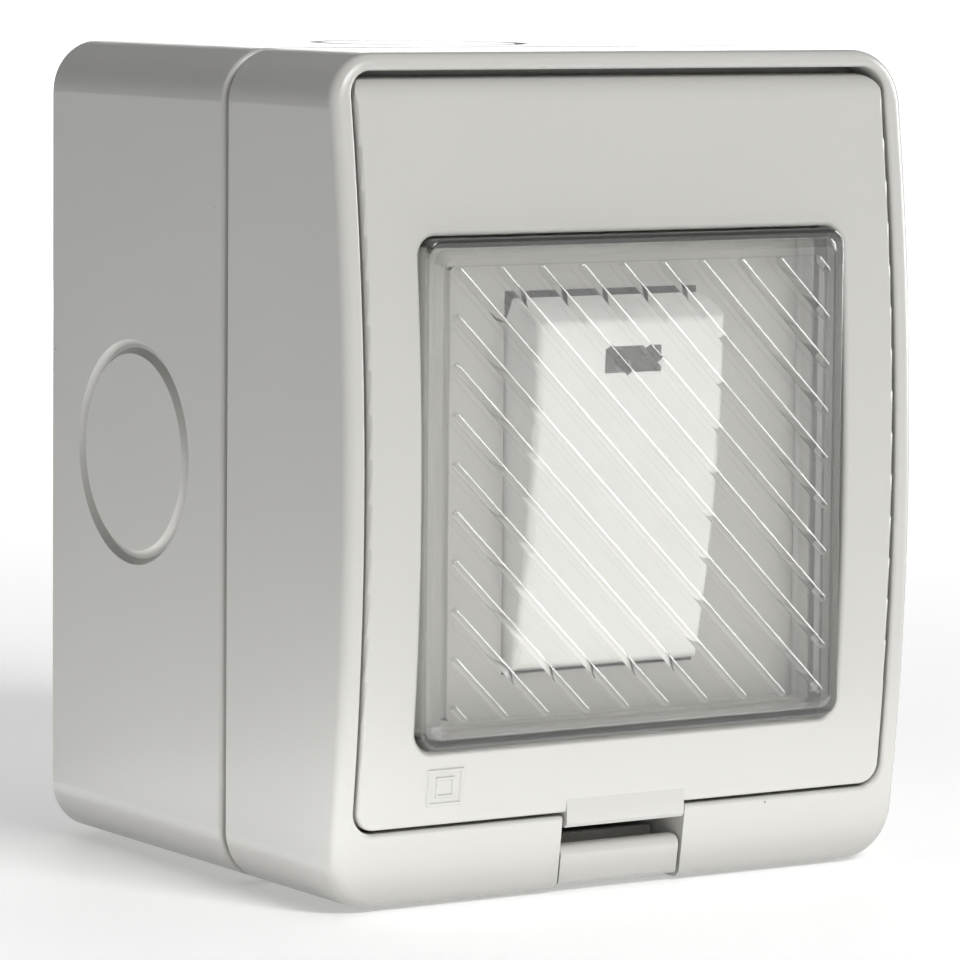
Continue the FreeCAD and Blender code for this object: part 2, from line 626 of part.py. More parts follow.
def window_ribs():
    """Slanted grip ribs, running down to the right at 45 degrees across the window's face."""
    margin = WINDOW_BORDER + RIB_END_INSET + RIB_RADIUS
    reach_x = WINDOW_HALF_WIDTH - margin
    reach_z = WINDOW_HALF_HEIGHT - margin
    pitch = (reach_x + reach_z - RIB_CORNER_REACH) / RIB_STEPS
    depth = WINDOW_FACE_DEPTH - RIB_SINK
    ribs = []
    for step in range(-RIB_STEPS, RIB_STEPS + 1):
        offset = step * pitch
        x0 = max(-reach_x, offset - reach_z)
        x1 = min(reach_x, offset + reach_z)
        start = at(x0, depth, SWITCH_Z + offset - x0)
        end = at(x1, depth, SWITCH_Z + offset - x1)
        ribs.append(capsule(start, end, RIB_RADIUS))
    return ribs


def window_step():
    """Raised middle of the window, tapering from inside the border up to the face."""
    outlines = []
    for inset, d in ((WINDOW_BORDER / 2, WINDOW_BORDER_DEPTH - SLIP), (WINDOW_BORDER, WINDOW_FACE_DEPTH)):
        half_w = WINDOW_HALF_WIDTH - inset
        half_h = WINDOW_HALF_HEIGHT - inset
        radius = WINDOW_CORNER_RADIUS - inset / 2
        outlines.append(rounded_wire(half_w, SWITCH_Z - half_h, SWITCH_Z + half_h, radius, d))
    return Part.makeLoft(outlines, True, True)


def window_membrane():
    wall = window_prism(0, CLAMP_FRONT, WINDOW_BORDER_DEPTH)
    wall = wall.makeFillet(WINDOW_BORDER_EDGE_RADIUS, edges_at_depth(wall, WINDOW_BORDER_DEPTH))
    flange = window_prism(FLANGE_REACH, CLAMP_FRONT, SEAT_DEPTH)
    body = fused(wall, window_step(), flange)
    body = body.cut(window_prism(-WINDOW_SKIN, 0, WINDOW_BORDER_DEPTH - WINDOW_SKIN))
    body = body.cut(window_prism(-WINDOW_BORDER - WINDOW_SKIN, 0, WINDOW_FACE_DEPTH - WINDOW_SKIN))
    for x, z in peg_places():
        body = body.cut(deep_cylinder(PEG_RADIUS + SLIP, x, z, 0, SEAT_DEPTH + SLIP))
    return fused(body, *window_ribs())


def window_clamp_frame():
    body = window_prism(SEAT_WIDTH, CLAMP_BACK, CLAMP_FRONT)
    body = body.cut(window_prism(-CLAMP_INSET, 0, FAR))
    for x, z in peg_places():
        body = body.cut(deep_cylinder(PEG_RADIUS + SLIP, x, z, 0, FAR))
    return body


def lid_seal():
    body = window_prism(LID_SEAL_WIDTH - CLAMP_INSET, CLAMP_BACK - LID_SEAL_THICKNESS, CLAMP_BACK)
    return body.cut(window_prism(-CLAMP_INSET, 0, FAR))


def lid_latch():
    arm_top = LATCH_PIVOT_Z + LATCH_PIN_RADIUS
    nose_back = HOOK_BACK + HOOK_THICKNESS + ROOT
    nose_front = nose_back + LATCH_NOSE_LENGTH
    nose_top = LATCH_TOP + LATCH_NOSE_RISE
    shell_back = front_depth(LATCH_TOP) - LATCH_SHELL
    floor_top = LATCH_BOTTOM + LATCH_FLOOR
    outline = [
        (LATCH_PIVOT_DEPTH, LATCH_BOTTOM), (BODY_DEPTH, LATCH_BOTTOM), (BODY_DEPTH, LATCH_TOP),
        (shell_back, LATCH_TOP), (shell_back, floor_top), (nose_front, floor_top), (nose_front, nose_top),
        (nose_back, nose_top),
        (nose_back - ROOT, arm_top), (LATCH_PIVOT_DEPTH, arm_top)
    ]
    body = side_prism(outline, LATCH_HALF_WIDTH).common(behind_front(LATCH_FRONT_SETBACK))
    across = [e for e in body.Edges if abs(middle_of(e).x) < SMALL and -middle_of(e).y > shell_back + SMALL]
    body = body.makeFillet(LATCH_BOTTOM_RADIUS, [e for e in across if middle_of(e).z < LATCH_BOTTOM + SMALL])
    across = [e for e in body.Edges if abs(middle_of(e).x) < SMALL and -middle_of(e).y > shell_back + SMALL]
    body = body.makeFillet(LATCH_TOP_RADIUS, [e for e in across if middle_of(e).z > LATCH_TOP - SMALL])
    half = LATCH_HALF_WIDTH
    barrel = cross_cylinder(LATCH_PIVOT_Z - LATCH_BOTTOM, LATCH_PIVOT_DEPTH, LATCH_PIVOT_Z, -half, half)
    reach = POCKET_HALF - RUNNING_CLEARANCE
    pin = cross_cylinder(LATCH_PIN_RADIUS, LATCH_PIVOT_DEPTH, LATCH_PIVOT_Z, -reach, reach)
    tongue_back = LATCH_PIVOT_DEPTH - LATCH_PIN_RADIUS
    tongue_front = tongue_back + LATCH_TONGUE
    tongue_top = LID_OPENING_BOTTOM - LID_GAP
    tongue = block(-half / 2, half / 2, tongue_back, tongue_front, LATCH_PIVOT_Z, tongue_top)
    return fused(body, barrel, pin, tongue)


def rocker_outline(thickness, back_points):
    """Side outline of the level rocker, moved in by thickness: bowed face, ends curved about the pivot."""
    edge = ROCKER_EDGE_REACH - thickness
    end_radius = ROCKER_END_RADIUS - thickness
    pivot = at(0, ROCKER_PIVOT_DEPTH, SWITCH_Z)

    def end_point(f, sign):
        return pivot + at(0, f, sign * math.sqrt(end_radius**2 - f**2))

    skirt = back_points[0][0]
    middle = (edge + skirt) / 2
    crown = pivot + at(0, edge + ROCKER_CROWN, 0)
    edges = [Part.Arc(end_point(edge, 1), crown, end_point(edge, -1)).toShape()]
    edges.append(Part.Arc(end_point(edge, -1), end_point(middle, -1), end_point(skirt, -1)).toShape())
    corners = [end_point(skirt, -1)]
    corners += [pivot + at(0, f, u) for f, u in back_points[1:-1]]
    corners.append(end_point(skirt, 1))
    for start, end in zip(corners, corners[1:]):
        edges.append(Part.makeLine(start, end))
    edges.append(Part.Arc(end_point(skirt, 1), end_point(middle, 1), end_point(edge, 1)).toShape())
    return Part.Face(Part.Wire(edges))


def drawn_across(face, half_width):
    moved = face.copy()
    moved.translate(X_AXIS * -half_width)
    return moved.extrude(X_AXIS * (2 * half_width))


def tilted(shape):
    """Turn a piece of the level rocker to the stored pose, top edge out."""
    shape.rotate(at(0, ROCKER_PIVOT_DEPTH, SWITCH_Z), X_AXIS, ROCKER_TILT)
    return shape


def rocker_block():
    heel = -ROCKER_HEEL_REACH
    back = [
        (ROCKER_SKIRT, 0), (heel, -ROCKER_HEEL_HALF), (heel, ROCKER_HEEL_HALF), (ROCKER_SKIRT, 0)
    ]
    return drawn_across(rocker_outline(0, back), ROCKER_HALF_WIDTH)


def rocker_hollow():
    back = -ROCKER_HEEL_REACH - ROOT
    return drawn_across(rocker_outline(ROCKER_WALL, [(back, 0), (back, 0)]), ROCKER_HALF_WIDTH - ROCKER_WALL)


def lens_prism(grow, f0, f1):
    half_w = LENS_HALF_WIDTH + grow
    half_h = LENS_HALF_HEIGHT + grow
    pivot = ROCKER_PIVOT_DEPTH
    return block(-half_w, half_w, pivot + f0, pivot + f1, LENS_Z - half_h, LENS_Z + half_h)


def rocker():
    body = rocker_block()
    edge = ROCKER_PIVOT_DEPTH + ROCKER_EDGE_REACH
    body = body.makeFillet(ROCKER_EDGE_RADIUS, [e for e in body.Edges if -middle_of(e).y > edge - SMALL])
    body = body.cut(rocker_hollow())
    web_x = ROCKER_HALF_WIDTH - ROOT
    web_back = ROCKER_PIVOT_DEPTH - ROCKER_WEB_BACK
    additions = [
        block(-web_x, web_x, web_back, edge - ROOT, SWITCH_Z - ROCKER_WEB_HALF, SWITCH_Z + ROCKER_WEB_HALF)
    ]
    guide_back = ROCKER_PIVOT_DEPTH - GUIDE_BACK
    for x in POLES.values():
        additions.append(deep_cylinder(PLUNGER_RADIUS + GUIDE_WALL, x, SWITCH_Z, guide_back, edge - ROOT))
    pin_reach = BASE_HALF_WIDTH - ROCKER_PIN_GAP
    for sign in (-1, 1):
        x0, x1 = sorted((sign * (ROCKER_HALF_WIDTH - ROCKER_WALL), sign * pin_reach))
        additions.append(cross_cylinder(ROCKER_PIN_RADIUS, ROCKER_PIVOT_DEPTH, SWITCH_Z, x0, x1))
    body = fused(body, *additions)
    bore = PLUNGER_RADIUS + RUNNING_CLEARANCE
    for x in POLES.values():
        bore_end = ROCKER_PIVOT_DEPTH + GUIDE_BORE_END
        body = body.cut(deep_cylinder(bore, x, SWITCH_Z, guide_back - ROOT, bore_end))
    body = body.cut(lens_prism(LENS_FIT, LENS_BACK - LENS_LIP, FAR))
    return tilted(body)


def indicator_lens():
    pane = lens_prism(0, LENS_BACK, FAR).common(rocker_block())
    lip = lens_prism(LENS_LIP, LENS_BACK, LENS_BACK + LENS_LIP_THICKNESS)
    return tilted(fused(pane, lip))


def plunger(x):
    tip = ROCKER_PIVOT_DEPTH - PLUNGER_REACH
    pin = deep_cylinder(PLUNGER_RADIUS, x, SWITCH_Z, tip, ROCKER_PIVOT_DEPTH)
    return tilted(pin.makeChamfer(PLUNGER_POINT, edges_at_depth(pin, tip)))


def plunger_spring(x):
    """Coil spring of square wire between the plunger and the end of its guide."""
    half = SPRING_WIRE / 2
    coil_radius = PLUNGER_RADIUS - SPRING_WIRE
    start = SPRING_GAP + half
    length = GUIDE_BORE_END - 2 * start
    path = Part.makeHelix(length / SPRING_TURNS, length, coil_radius)
    corners = [(-half, -half), (half, -half), (half, half), (-half, half), (-half, -half)]
    section = Part.makePolygon([FreeCAD.Vector(coil_radius + a, 0, b) for a, b in corners])
    coil = Part.Wire(path).makePipeShell([section], True, True)
    coil.rotate(FreeCAD.Vector(0, 0, 0), X_AXIS, 90)
    coil.translate(at(x, ROCKER_PIVOT_DEPTH + start, SWITCH_Z))
    return tilted(coil)


def switch_base():
    half_h = BASE_HALF_HEIGHT
    inner_h = half_h - BASE_WALL
    inner_radius = max(BASE_CORNER_RADIUS - BASE_WALL, LEAST_RADIUS)
    floor = BASE_FLOOR_FRONT
    floor_root = floor - ROOT
    z = SWITCH_Z
    body = rounded_prism(BASE_HALF_WIDTH, z - half_h, z + half_h, BASE_CORNER_RADIUS, BASE_BACK, PLATE_BACK)
    inner_w = BASE_HALF_WIDTH - BASE_WALL
    body = body.cut(rounded_prism(inner_w, z - inner_h, z + inner_h, inner_radius, floor, FAR))
    partition_top = LAMP_Z - PARTITION_LAMP_GAP
    fin = PARTITION_HALF
    fin_low = z - TERMINAL_SIZE
    fin_high = LAMP_Z + RESISTOR_OFFSET
    additions = [
        block(-fin, fin, floor_root, floor + PARTITION_HEIGHT, z - inner_h - ROOT, partition_top),
        block(-fin, fin, TERMINAL_BACK, BASE_BACK + ROOT, fin_low, fin_high)
    ]
    ear_length = EAR_Z + EAR_REACH - half_h + ROOT
    for low in (z - EAR_Z - EAR_REACH, z + half_h - ROOT):
        ear_back = EAR_DEPTH - EAR_THICKNESS
        additions.append(block(-EAR_HALF_WIDTH, EAR_HALF_WIDTH, ear_back, EAR_DEPTH, low, low + ear_length))
    for x in (-CRADLE_X, CRADLE_X):
        low = LAMP_Z - CRADLE_HALF_HEIGHT
        high = LAMP_Z + CRADLE_HALF_HEIGHT
        seat = LAMP_DEPTH - LAMP_RADIUS
        additions.append(block(x - CRADLE_HALF_WIDTH, x + CRADLE_HALF_WIDTH, floor_root, seat, low, high))
    pad_z = z - CONTACT_Z
    for x in POLES.values():
        pad = block(
            x - PAD_HALF_WIDTH, x + PAD_HALF_WIDTH, floor_root, floor + PAD_HEIGHT,
            pad_z - PAD_HALF_HEIGHT, pad_z + PAD_HALF_HEIGHT
        )
        additions.append(pad)
    body = fused(body, *additions)
    body = body.cut(cross_cylinder(ROCKER_PIN_RADIUS + RUNNING_CLEARANCE, ROCKER_PIVOT_DEPTH, z, -FAR, FAR))
    for ear_z in EAR_HEIGHTS:
        body = body.cut(deep_cylinder(EAR_HOLE_RADIUS, 0, ear_z, 0, FAR))
    half_w = ARM_WIDTH / 2 + SLIP
    for x in POLES.values():
        for centre, half in ((z, COMMON_POST_HALF + SLIP), (z + CONTACT_Z, LOAD_POST_HALF + SLIP)):
            body = body.cut(block(x - half_w, x + half_w, 0, floor + SLIP, centre - half, centre + half))
    return body


def head_slot(x, z, reach, head_back):
    """Driver slot across the rear-facing head of a screw."""
    low = z - SLOT_HALF_WIDTH
    return block(x - reach, x + reach, 0, head_back + TERMINAL_SLOT_DEPTH, low, low + 2 * SLOT_HALF_WIDTH)


def module_screws():
    screws = []
    seat = EAR_DEPTH - EAR_THICKNESS
    head_back = seat - MODULE_SCREW_HEAD_HEIGHT
    reach = MODULE_SCREW_HEAD_RADIUS
    for z in EAR_HEIGHTS:
        head = deep_cylinder(reach, 0, z, head_back, seat)
        screw = fused(head, deep_cylinder(MODULE_SCREW_RADIUS, 0, z, seat, PLATE_BACK - MODULE_SCREW_END))
        screws.append(screw.cut(head_slot(0, z, reach, head_back)))
    return screws


def contact_arm(x):
    half = ARM_WIDTH / 2
    pivot = ARM_PIVOT_DEPTH
    low = SWITCH_Z - ARM_HALF_LENGTH
    strip = block(x - half, x + half, pivot, pivot + ARM_THICKNESS, low, low + 2 * ARM_HALF_LENGTH)
    boss = cross_cylinder(ARM_BOSS_RADIUS, pivot, SWITCH_Z, x - half, x + half)
    boss = boss.common(block(x - half, x + half, 0, pivot + SLIP, -FAR, FAR))
    rivet = deep_cylinder(CONTACT_RADIUS, x, SWITCH_Z + CONTACT_Z, pivot - CONTACT_HEIGHT, pivot + SLIP)
    arm = fused(strip, boss, rivet)
    arm.rotate(at(x, pivot, SWITCH_Z), X_AXIS, -ARM_TILT)
    return arm


def clamp_block(x, z):
    """Brass block with an upright hole for the wire and a screw hole from the back."""
    half = TERMINAL_SIZE / 2
    wire_depth = TERMINAL_BACK + WIRE_HOLE_DEPTH
    body = block(x - half, x + half, TERMINAL_BACK, BASE_BACK, z - half, z + half)
    body = body.cut(upright_cylinder(WIRE_HOLE_RADIUS, x, wire_depth, z - FAR, z + FAR))
    return body.cut(deep_cylinder(TERMINAL_SCREW_RADIUS + SLIP, x, z, 0, wire_depth))


def common_terminal(x):
    half = ARM_WIDTH / 2
    seat = ARM_PIVOT_DEPTH - ARM_SEAT_GAP
    low = SWITCH_Z - COMMON_POST_HALF
    post = block(x - half, x + half, BASE_BACK - ROOT, seat, low, low + 2 * COMMON_POST_HALF)
    body = fused(clamp_block(x, TERMINAL_HEIGHTS[0]), post)
    bore = ARM_BOSS_RADIUS + RUNNING_CLEARANCE
    return body.cut(cross_cylinder(bore, ARM_PIVOT_DEPTH, SWITCH_Z, x - half, x + half))


def load_terminal(x):
    half = ARM_WIDTH / 2
    z = SWITCH_Z + CONTACT_Z
    post_front = FIXED_CONTACT_FACE - CONTACT_HEIGHT
    post = block(x - half, x + half, BASE_BACK - ROOT, post_front, z - LOAD_POST_HALF, z + LOAD_POST_HALF)
    rivet = deep_cylinder(CONTACT_RADIUS, x, z, post_front - SLIP, FIXED_CONTACT_FACE)
    return fused(clamp_block(x, TERMINAL_HEIGHTS[1]), post, rivet)


def terminal_screws():
    screws = []
    head_front = TERMINAL_BACK - TERMINAL_SCREW_STANDOFF
    head_back = head_front - TERMINAL_SCREW_HEAD_HEIGHT
    tip = TERMINAL_BACK + TERMINAL_SCREW_REACH
    reach = TERMINAL_SCREW_HEAD_RADIUS
    for x in POLES.values():
        for z in TERMINAL_HEIGHTS:
            head = deep_cylinder(reach, x, z, head_back, head_front)
            screw = fused(head, deep_cylinder(TERMINAL_SCREW_RADIUS, x, z, head_front, tip))
            screws.append(screw.cut(head_slot(x, z, reach, head_back)))
    return screws


def leaded(body, half_length, d, z):
    """Add a lead to each end of a small component, running down to the base floor."""
    reach = half_length + LEAD_REACH
    leads = [cross_cylinder(LEAD_RADIUS, d, z, -reach, reach)]
    for x in (-reach + LEAD_RADIUS, reach - LEAD_RADIUS):
        leads.append(deep_cylinder(LEAD_RADIUS, x, z, BASE_FLOOR_FRONT, d + LEAD_RADIUS))
    return fused(body, *leads)


def neon_lamp():
    half = LAMP_HALF_LENGTH
    bulb = cross_cylinder(LAMP_RADIUS, LAMP_DEPTH, LAMP_Z, -half, half)
    bulb = bulb.makeChamfer(LAMP_RADIUS / 2, [e for e in bulb.Edges if abs(middle_of(e).x) > half - SMALL])
    return leaded(bulb, half, LAMP_DEPTH, LAMP_Z)


def neon_resistor():
    half = RESISTOR_HALF_LENGTH
    depth = BASE_FLOOR_FRONT + RESISTOR_RADIUS + RESISTOR_STANDOFF
    z = LAMP_Z + RESISTOR_OFFSET
    return leaded(cross_cylinder(RESISTOR_RADIUS, depth, z, -half, half), half, depth, z)


save("back_box", back_box())
save("housing_seal", housing_seal())
save("front_housing", front_housing())
save("housing_screws", *housing_screws())
save("lid", lid())
save("window_membrane", window_membrane())
save("window_clamp_frame", window_clamp_frame())
save("lid_seal", lid_seal())
save("lid_latch", lid_latch())
save("rocker", rocker())
save("indicator_lens", indicator_lens())
save("switch_base", switch_base())
save("module_screws", *module_screws())
for side, pole in POLES.items():
    save(f"plunger_{side}", plunger(pole))
    save(f"spring_{side}", plunger_spring(pole))
    save(f"contact_arm_{side}", contact_arm(pole))
    save(f"common_terminal_{side}", common_terminal(pole))
    save(f"load_terminal_{side}", load_terminal(pole))
save("terminal_screws", *terminal_screws())
save("neon_lamp", neon_lamp())
save("neon_resistor", neon_resistor())
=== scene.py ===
import math

import bmesh
import bpy
from mathutils import Matrix, Vector


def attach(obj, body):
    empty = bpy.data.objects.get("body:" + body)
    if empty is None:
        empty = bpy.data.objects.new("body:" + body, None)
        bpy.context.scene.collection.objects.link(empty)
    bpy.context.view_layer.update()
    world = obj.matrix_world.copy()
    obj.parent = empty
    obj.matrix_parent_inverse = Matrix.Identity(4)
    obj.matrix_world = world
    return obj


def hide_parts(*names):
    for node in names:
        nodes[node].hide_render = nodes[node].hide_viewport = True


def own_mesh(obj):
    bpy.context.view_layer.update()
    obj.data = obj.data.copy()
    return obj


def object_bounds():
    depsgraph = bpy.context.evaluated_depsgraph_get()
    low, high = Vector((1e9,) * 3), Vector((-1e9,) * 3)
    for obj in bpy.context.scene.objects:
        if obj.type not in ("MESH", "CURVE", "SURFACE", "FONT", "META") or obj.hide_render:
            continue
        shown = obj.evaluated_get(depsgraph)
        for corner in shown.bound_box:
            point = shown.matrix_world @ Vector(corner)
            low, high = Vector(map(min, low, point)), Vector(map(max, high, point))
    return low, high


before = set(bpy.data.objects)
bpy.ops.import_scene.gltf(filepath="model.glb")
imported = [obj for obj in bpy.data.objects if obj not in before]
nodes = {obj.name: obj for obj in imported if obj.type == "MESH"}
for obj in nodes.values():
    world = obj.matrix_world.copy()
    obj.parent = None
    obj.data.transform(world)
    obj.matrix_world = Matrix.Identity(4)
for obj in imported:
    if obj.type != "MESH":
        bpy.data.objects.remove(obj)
cad_low, cad_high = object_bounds()
scene = bpy.context.scene
MM = 0.001
WHITE = (1.0, 1.0, 1.0)


# Node helpers

def new_tree(name):
    """New material with its node tree, its shader and the object coordinates."""
    material = bpy.data.materials.new(name)
    material.use_nodes = True
    tree = material.node_tree
    shader = tree.nodes["Principled BSDF"]
    place = tree.nodes.new("ShaderNodeTexCoord").outputs["Object"]
    return material, tree, shader, place


def noise(tree, place, scale, detail=3.0):
    node = tree.nodes.new("ShaderNodeTexNoise")
    node.inputs["Scale"].default_value = scale
    node.inputs["Detail"].default_value = detail
    tree.links.new(place, node.inputs["Vector"])
    return node.outputs["Fac"]


def ranged(tree, value, source, result):
    """Map a socket from the source range to the result range, and hold it at the ends."""
    node = tree.nodes.new("ShaderNodeMapRange")
    node.inputs["From Min"].default_value, node.inputs["From Max"].default_value = source
    node.inputs["To Min"].default_value, node.inputs["To Max"].default_value = result
    tree.links.new(value, node.inputs["Value"])
    return node.outputs["Result"]


def reckoned(tree, operation, first, second=0.0):
    """One step of arithmetic on a socket, with a second socket or a plain number."""
    node = tree.nodes.new("ShaderNodeMath")
    node.operation = operation
    tree.links.new(first, node.inputs[0])
    if isinstance(second, float):
        node.inputs[1].default_value = second
    else:
        tree.links.new(second, node.inputs[1])
    return node.outputs["Value"]


def parted(tree, vector):
    """The X, Y and Z outputs of a vector socket."""
    node = tree.nodes.new("ShaderNodeSeparateXYZ")
    tree.links.new(vector, node.inputs["Vector"])
    return node.outputs


def mixed(tree, factor, first, second):
    """Colour between two, each a socket or plain values."""
    node = tree.nodes.new("ShaderNodeMix")
    node.data_type = "RGBA"
    tree.links.new(factor, node.inputs[0])
    for socket, colour in ((node.inputs[6], first), (node.inputs[7], second)):
        if isinstance(colour, tuple):
            socket.default_value = (*colour, 1.0)
        else:
            tree.links.new(colour, socket)
    return node.outputs[2]


def bumped(tree, shader, height, strength, distance):
    node = tree.nodes.new("ShaderNodeBump")
    node.inputs["Strength"].default_value = strength
    node.inputs["Distance"].default_value = distance
    tree.links.new(height, node.inputs["Height"])
    tree.links.new(node.outputs["Normal"], shader.inputs["Normal"])


def shade(colour, by):
    return tuple(channel * by for channel in colour)


SPECK_CORE = 0.6


def specks(tree, place, scale, size):
    """1 inside rare tiny dots scattered over the surface, else 0."""
    cells = tree.nodes.new("ShaderNodeTexVoronoi")
    cells.inputs["Scale"].default_value = scale
    tree.links.new(place, cells.inputs["Vector"])
    return ranged(tree, cells.outputs["Distance"], source=(size, size * SPECK_CORE), result=(0.0, 1.0))


# Materials, with noise scales per metre

FULL_NOISE = (0.0, 1.0)
MID_NOISE = (0.3, 0.7)
PLASTIC_DRIFT = (0.975, 1.02)
UNEVEN_GLOSS = 0.04
SPECK_SHADE = 0.40
PLASTIC_IOR = 1.5
RUBBER_DRIFT = (0.85, 1.15)
RUBBER_ROUGHNESS = (0.55, 0.75)
METAL_DULLING = 0.86
METAL_ROUGHNESS_SPREAD = 0.18
CLEAR_DRIFT = 1.02
HAZE_SPREAD = 1.6


def plastic(name, colour, rough, dotted=False):
    """Moulded thermoplastic: slow drift of tone, uneven gloss and a faint moulding grain."""
    material, tree, shader, place = new_tree(name)
    tones = [shade(colour, by) for by in PLASTIC_DRIFT]
    paint = mixed(tree, noise(tree, place, scale=28.0), *tones)
    if dotted:
        dots = specks(tree, place, scale=105.0, size=0.020)
        paint = mixed(tree, dots, paint, shade(colour, SPECK_SHADE))
    tree.links.new(paint, shader.inputs["Base Color"])
    roughs = (rough - UNEVEN_GLOSS, rough + UNEVEN_GLOSS)
    gloss = ranged(tree, noise(tree, place, scale=140.0), source=FULL_NOISE, result=roughs)
    tree.links.new(gloss, shader.inputs["Roughness"])
    grain = noise(tree, place, scale=1500.0, detail=2.0)
    bumped(tree, shader, grain, strength=0.05, distance=0.03 * MM)
    shader.inputs["IOR"].default_value = PLASTIC_IOR
    return material


def rubber(name, colour):
    """Matt seal: blotchy tone and a fine pebbled skin."""
    material, tree, shader, place = new_tree(name)
    tones = [shade(colour, by) for by in RUBBER_DRIFT]
    paint = mixed(tree, noise(tree, place, scale=90.0), *tones)
    tree.links.new(paint, shader.inputs["Base Color"])
    gloss = ranged(tree, noise(tree, place, scale=400.0), source=MID_NOISE, result=RUBBER_ROUGHNESS)
    tree.links.new(gloss, shader.inputs["Roughness"])
    bumped(tree, shader, noise(tree, place, scale=1800.0), strength=0.15, distance=0.05 * MM)
    return material


def metal(name, colour, rough):
    """Plated or drawn metal: slightly dulled in patches, with a fine grain."""
    material, tree, shader, place = new_tree(name)
    paint = mixed(tree, noise(tree, place, scale=220.0), shade(colour, METAL_DULLING), colour)
    tree.links.new(paint, shader.inputs["Base Color"])
    roughs = (rough, rough + METAL_ROUGHNESS_SPREAD)
    gloss = ranged(tree, noise(tree, place, scale=700.0), source=MID_NOISE, result=roughs)
    tree.links.new(gloss, shader.inputs["Roughness"])
    bumped(tree, shader, noise(tree, place, scale=2600.0), strength=0.12, distance=0.03 * MM)
    shader.inputs["Metallic"].default_value = 1.0
    return material


def clear(name, colour, rough, ior, clarity):
    """Clear moulding with a trace of haze, tinted a little by its drift of tone and never quite even."""
    material, tree, shader, place = new_tree(name)
    paint = mixed(tree, noise(tree, place, scale=45.0), colour, shade(colour, CLEAR_DRIFT))
    tree.links.new(paint, shader.inputs["Base Color"])
    roughs = (rough, rough * HAZE_SPREAD)
    gloss = ranged(tree, noise(tree, place, scale=260.0), source=FULL_NOISE, result=roughs)
    tree.links.new(gloss, shader.inputs["Roughness"])
    bumped(tree, shader, noise(tree, place, scale=120.0), strength=0.04, distance=0.2 * MM)
    shader.inputs["Transmission Weight"].default_value = clarity
    shader.inputs["IOR"].default_value = ior
    return material


# The window's raised face, and the border round it where the soft moulding is thick and cloudy
FACE_HALF_WIDTH = 27.4 * MM
FACE_HALF_HEIGHT = 27.2 * MM
FACE_CENTRE = -1.3 * MM
BORDER_FADE = (-0.2 * MM, 0.4 * MM)
BORDER_CLARITY = 0.94
BORDER_TINT = (0.78, 0.78, 0.75)
WINDOW_COAT_ROUGHNESS = 0.12
WINDOW_COAT_IOR = 1.6


def membrane(name, colour, rough, ior, clarity):
    """The soft window: clear on its raised face, cloudy at its border, with a gloss that draws the ribs."""
    material = clear(name, colour, rough, ior, clarity)
    tree = material.node_tree
    shader = tree.nodes["Principled BSDF"]
    at = parted(tree, tree.nodes.new("ShaderNodeTexCoord").outputs["Object"])
    height = reckoned(tree, "SUBTRACT", at["Z"], FACE_CENTRE)
    across = reckoned(tree, "SUBTRACT", reckoned(tree, "ABSOLUTE", at["X"]), FACE_HALF_WIDTH)
    along = reckoned(tree, "SUBTRACT", reckoned(tree, "ABSOLUTE", height), FACE_HALF_HEIGHT)
    outside = reckoned(tree, "MAXIMUM", across, along)
    haze = ranged(tree, outside, source=BORDER_FADE, result=(clarity, BORDER_CLARITY))
    tree.links.new(haze, shader.inputs["Transmission Weight"])
    cloud = ranged(tree, outside, source=BORDER_FADE, result=(0.0, 1.0))
    paint = shader.inputs["Base Color"].links[0].from_socket
    tree.links.new(mixed(tree, cloud, paint, BORDER_TINT), shader.inputs["Base Color"])
    shader.inputs["Coat Weight"].default_value = 1.0
    shader.inputs["Coat Roughness"].default_value = WINDOW_COAT_ROUGHNESS
    shader.inputs["Coat IOR"].default_value = WINDOW_COAT_IOR
    return material


grey_plastic = plastic("grey_plastic", (0.495, 0.490, 0.466), rough=0.30, dotted=True)
white_plastic = plastic("white_plastic", (0.95, 0.95, 0.935), rough=0.30)
base_plastic = plastic("base_plastic", (0.13, 0.13, 0.135), rough=0.42)
white_plunger = plastic("white_plunger", (0.70, 0.70, 0.67), rough=0.38)
resistor_coat = plastic("resistor_coat", (0.52, 0.38, 0.22), rough=0.35)
window_clear = membrane("window_clear", (0.930, 0.927, 0.908), rough=0.03, ior=1.12, clarity=0.98)
lens_smoke = clear("lens_smoke", (0.13, 0.13, 0.125), rough=0.22, ior=1.49, clarity=0.45)
lamp_glass = clear("lamp_glass", (0.95, 0.90, 0.84), rough=0.02, ior=1.47, clarity=1.0)
seal_rubber = rubber("seal_rubber", (0.14, 0.14, 0.135))
seal_foam = rubber("seal_foam", (0.56, 0.56, 0.54))
zinc_steel = metal("zinc_steel", (0.62, 0.62, 0.60), rough=0.28)
spring_steel = metal("spring_steel", (0.50, 0.50, 0.49), rough=0.24)
brass = metal("brass", (0.74, 0.55, 0.27), rough=0.27)

FINISHES = {
    "back_box": grey_plastic,
    "front_housing": grey_plastic,
    "lid": grey_plastic,
    "lid_latch": grey_plastic,
    "window_clamp_frame": grey_plastic,
    "window_membrane": window_clear,
    "housing_seal": seal_rubber,
    "lid_seal": seal_foam,
    "rocker": white_plastic,
    "indicator_lens": lens_smoke,
    "plunger_left": white_plunger,
    "plunger_right": white_plunger,
    "switch_base": base_plastic,
    "spring_left": spring_steel,
    "spring_right": spring_steel,
    "housing_screws": zinc_steel,
    "module_screws": zinc_steel,
    "terminal_screws": zinc_steel,
    "contact_arm_left": brass,
    "contact_arm_right": brass,
    "common_terminal_left": brass,
    "common_terminal_right": brass,
    "load_terminal_left": brass,
    "load_terminal_right": brass,
    "neon_lamp": lamp_glass,
    "neon_resistor": resistor_coat
}
for name, finish in FINISHES.items():
    nodes[name].data.materials.clear()
    nodes[name].data.materials.append(finish)


# The nested-square sign, a thin moulded ridge on the lid's lower left, in mm on the bowed front

